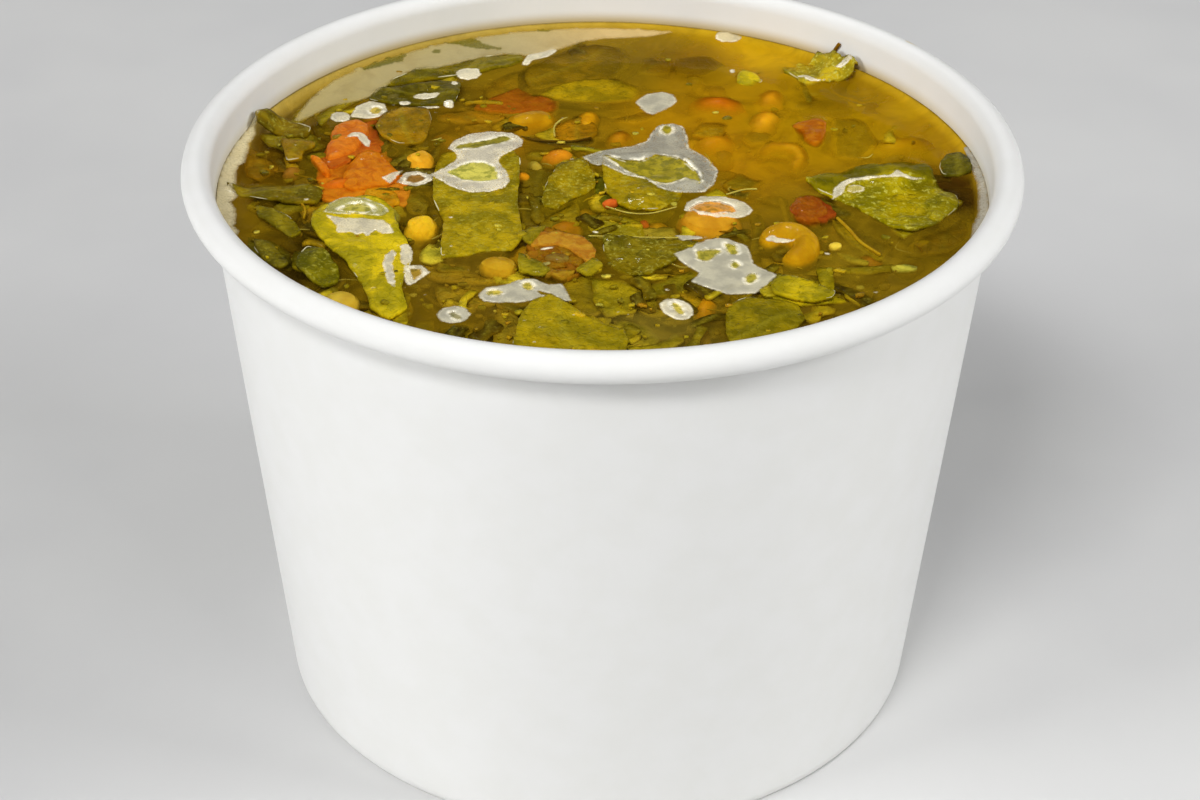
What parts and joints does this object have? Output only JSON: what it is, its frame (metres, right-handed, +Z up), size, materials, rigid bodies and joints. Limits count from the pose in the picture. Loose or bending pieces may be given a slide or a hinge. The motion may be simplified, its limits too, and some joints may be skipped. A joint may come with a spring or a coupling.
{
  "type": "paper cup of spinach lentil soup",
  "caption": "Round tapered paper soup cup with a rolled rim, filled with olive-gold broth, spinach leaves, lentils, beans and soft vegetable pieces.",
  "frame": {"origin": "centre of the ring on which the cup stands, at the height of the surface it rests on", "axes": "+Z up along the cup's axis; -Y towards the front, from which the cup was seen; +X to the right"},
  "size_m": [0.098, 0.098, 0.071],
  "materials": {
    "cup_paper": "white uncoated-looking board with a soft satin sheen",
    "broth": "clear olive-gold broth, wet and glossy",
    "leaf_bright": "bright wet spinach leaf",
    "leaf_middle": "olive cooked spinach leaf, wet",
    "leaf_dark": "dark cooked spinach leaf, wet",
    "leaf_pale": "pale yellow-green spinach leaf, wet",
    "bean_orange": "orange cooked bean, wet skin",
    "bean_yellow": "yellow-brown cooked lentil, wet skin",
    "kernel": "bright yellow kernel, wet skin",
    "tomato_red": "red cooked tomato or pepper, wet",
    "tomato_orange": "orange cooked tomato or carrot, wet",
    "onion": "soft brown-gold cooked onion, wet"
  },
  "bodies": {
    "root": {"cup_wall": "cup_paper", "cup_base": "cup_paper", "broth": "broth", "leaf_big_square": "leaf_middle", "leaf_long_left": "leaf_bright", "leaf_folded_right": "leaf_bright", "leaf_crumpled_back_right": "leaf_pale", "leaf_front_centre": "leaf_bright", "leaf_front_right": "leaf_middle", "leaf_strip_front_right": "leaf_pale", "leaf_small_centre": "leaf_bright", "leaf_centre": "leaf_bright", "leaf_dark_centre": "leaf_dark", "leaf_star_left": "leaf_middle", "leaf_strip_left": "leaf_dark", "leaf_oval_left": "leaf_middle", "leaf_dark_left": "leaf_dark", "leaf_curled_left": "leaf_bright", "leaf_band_back_left": "leaf_middle", "leaf_block_back_left": "leaf_dark", "leaf_olive_left": "leaf_middle", "leaf_strip_right": "leaf_dark", "leaf_tip_left": "leaf_dark", "leaf_fleck_back": "leaf_pale", "tomato_red": "tomato_red", "tomato_orange": "tomato_orange", "carrot_shred_left": "tomato_orange", "carrot_right": "tomato_orange", "pepper_right": "tomato_red", "onion_front": "onion", "bean_orange": "bean_orange", "kernel_yellow": "kernel", "kernel_orange": "bean_orange", "lentil_front_left": "bean_yellow", "lentil_front": "bean_yellow", "bean_curled": "bean_yellow"}
  },
  "joints": []
}
